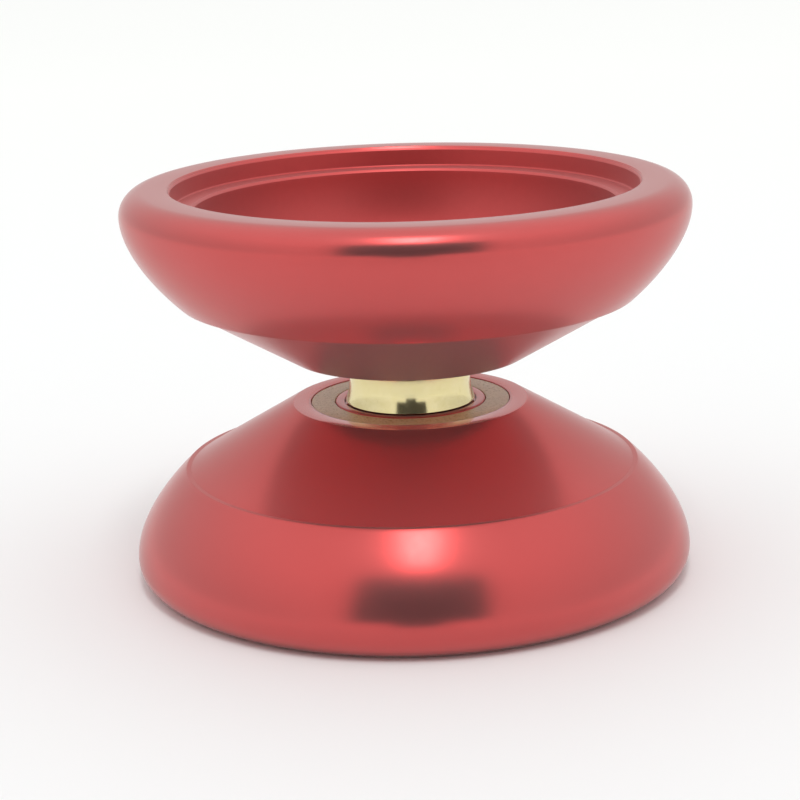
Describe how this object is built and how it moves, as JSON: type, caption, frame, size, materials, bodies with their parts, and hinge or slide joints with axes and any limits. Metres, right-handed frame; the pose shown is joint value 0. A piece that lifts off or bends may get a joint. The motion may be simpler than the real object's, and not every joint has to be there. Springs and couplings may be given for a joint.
{
  "type": "yo yo",
  "caption": "Butterfly-shaped metal yo yo with two hollow turned halves joined by a threaded axle, spinning on a concave centring ball bearing between silicone response pads.",
  "frame": {"origin": "centre of the yo yo: on the axle's axis, halfway between the two halves", "axes": "+Z along the axle, out of the upper half as it stands on its rim; X and Y across the halves"},
  "size_m": [0.0548, 0.0548, 0.0386],
  "materials": {
    "anodised_red": "bead-blasted and anodised satin red",
    "silicone": "matte translucent grey silicone",
    "axle_steel": "bright stainless steel",
    "gold_plated_steel": "gold-coloured plating with fine handling scratches",
    "bearing_steel": "ground and polished bearing steel",
    "shield_steel": "thin stamped stainless steel",
    "cage_steel": "stamped steel"
  },
  "bodies": {
    "lower_half": {"bottom_half": "anodised_red", "axle": "axle_steel", "bearing_inner_race": "bearing_steel", "response_pad_bottom": "silicone"},
    "upper_half": {"top_half": "anodised_red", "response_pad_top": "silicone"},
    "bearing_ring": {"bearing_outer_race": "gold_plated_steel", "bearing_shield_top": "shield_steel", "bearing_shield_bottom": "shield_steel", "snap_ring_top": "shield_steel", "snap_ring_bottom": "shield_steel"},
    "ball_set": {"ball_cage": "cage_steel", "bearing_ball_01": "bearing_steel", "bearing_ball_02": "bearing_steel", "bearing_ball_03": "bearing_steel", "bearing_ball_04": "bearing_steel", "bearing_ball_05": "bearing_steel", "bearing_ball_06": "bearing_steel", "bearing_ball_07": "bearing_steel", "bearing_ball_08": "bearing_steel", "bearing_ball_09": "bearing_steel", "bearing_ball_10": "bearing_steel"}
  },
  "joints": [
    {"name": "half_unscrew", "type": "slide", "parent": "lower_half", "child": "upper_half", "axis": [0, 0, 1], "range_m": [0, 0.012]},
    {"name": "bearing_spin", "type": "hinge", "parent": "lower_half", "child": "bearing_ring", "pos_m": [0, 0, 0], "axis": [0, 0, 1], "continuous": true},
    {"name": "cage_orbit", "type": "hinge", "parent": "lower_half", "child": "ball_set", "pos_m": [0, 0, 0], "axis": [0, 0, 1], "continuous": true}
  ],
  "couplings": [
    {"joint": "cage_orbit", "follows": "bearing_spin", "ratio": 0.58333}
  ]
}
